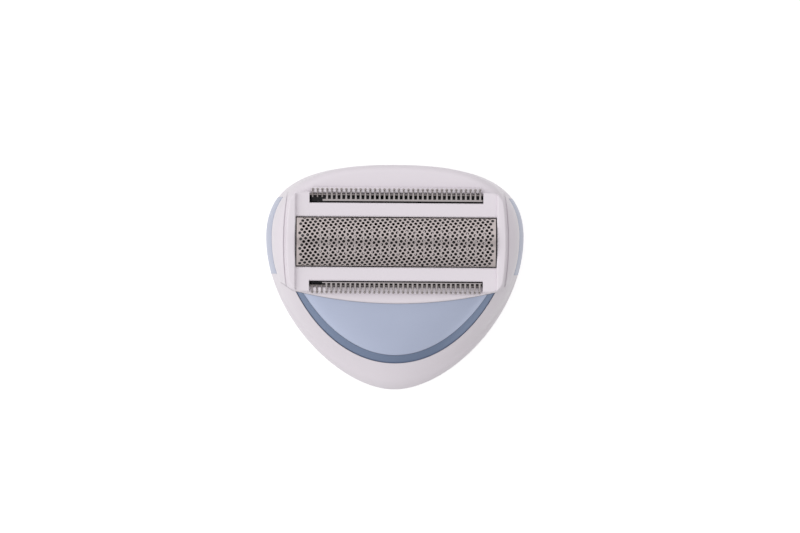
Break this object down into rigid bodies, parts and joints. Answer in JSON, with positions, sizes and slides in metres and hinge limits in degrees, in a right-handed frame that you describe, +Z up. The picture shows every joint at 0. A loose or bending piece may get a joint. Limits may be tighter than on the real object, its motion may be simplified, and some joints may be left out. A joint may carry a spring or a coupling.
{
  "type": "shaver head",
  "caption": "Rounded triangular shaver head: arched foil between front and rear comb trimmers, blue panel on a sloping nose, side release buttons and a sprung cutter inside.",
  "frame": {"origin": "middle of the head's outline, on the plane of the rim that it stands on", "axes": "+X to the right across the foil, +Y to the rear away from the nose, +Z up out of the foil"},
  "size_m": [0.0504, 0.0439, 0.025],
  "materials": {
    "white_plastic": "smooth satin moulding",
    "panel_blue": "pearl pale blue",
    "trim_blue": "smooth grey blue",
    "button_blue": "smooth pale blue",
    "inner_plastic": "matt moulding",
    "drive_plastic": "dark matt moulding",
    "foil_steel": "bright rolled foil",
    "comb_steel": "ground steel",
    "blade_steel": "ground steel",
    "screw_steel": "bright zinc plated",
    "spring_steel": "drawn wire"
  },
  "bodies": {
    "housing": {"head_casing": "white_plastic", "foil_frame": "white_plastic", "front_panel": "panel_blue", "panel_trim": "trim_blue", "chassis": "inner_plastic", "chassis_screws": "screw_steel", "trimmer_comb_rear": "comb_steel", "trimmer_comb_front": "comb_steel", "button_spring_left": "spring_steel", "button_spring_right": "spring_steel"},
    "foil_cassette": {"shaving_foil": "foil_steel", "foil_holder": "drive_plastic"},
    "drive_slider": {"drive_bridge": "drive_plastic", "trimmer_blade_rear": "blade_steel", "trimmer_blade_front": "blade_steel", "cutter_spring_left": "spring_steel", "cutter_spring_right": "spring_steel"},
    "cutter_block": {"cutter_carrier": "drive_plastic", "cutter_blade_01": "blade_steel", "cutter_blade_02": "blade_steel", "cutter_blade_03": "blade_steel", "cutter_blade_04": "blade_steel", "cutter_blade_05": "blade_steel", "cutter_blade_06": "blade_steel", "cutter_blade_07": "blade_steel", "cutter_blade_08": "blade_steel", "cutter_blade_09": "blade_steel", "cutter_blade_10": "blade_steel", "cutter_blade_11": "blade_steel", "cutter_blade_12": "blade_steel", "cutter_blade_13": "blade_steel", "cutter_blade_14": "blade_steel", "cutter_blade_15": "blade_steel", "cutter_blade_16": "blade_steel", "cutter_blade_17": "blade_steel", "cutter_blade_18": "blade_steel", "cutter_blade_19": "blade_steel", "cutter_blade_20": "blade_steel"},
    "button_left": {"release_button_left": "button_blue"},
    "button_right": {"release_button_right": "button_blue"}
  },
  "joints": [
    {"name": "foil_float", "type": "slide", "parent": "housing", "child": "foil_cassette", "axis": [0, 0, 1], "range_m": [-0.0012, 0], "stiffness_N_per_m": 200, "springref_m": 0.002},
    {"name": "drive_stroke", "type": "slide", "parent": "housing", "child": "drive_slider", "axis": [1, 0, 0], "range_m": [-0.0024, 0]},
    {"name": "cutter_float", "type": "slide", "parent": "drive_slider", "child": "cutter_block", "axis": [0, 0, 1], "range_m": [-0.0012, 0], "deforming": ["cutter_spring_left", "cutter_spring_right"]},
    {"name": "left_button_press", "type": "slide", "parent": "housing", "child": "button_left", "axis": [1, 0, 0], "range_m": [0, 0.0012], "stiffness_N_per_m": 400, "springref_m": -0.001, "deforming": ["button_spring_left"]},
    {"name": "right_button_press", "type": "slide", "parent": "housing", "child": "button_right", "axis": [-1, 0, 0], "range_m": [0, 0.0012], "stiffness_N_per_m": 400, "springref_m": -0.001, "deforming": ["button_spring_right"]}
  ],
  "couplings": [
    {"joint": "cutter_float", "follows": "foil_float", "ratio": 1}
  ]
}
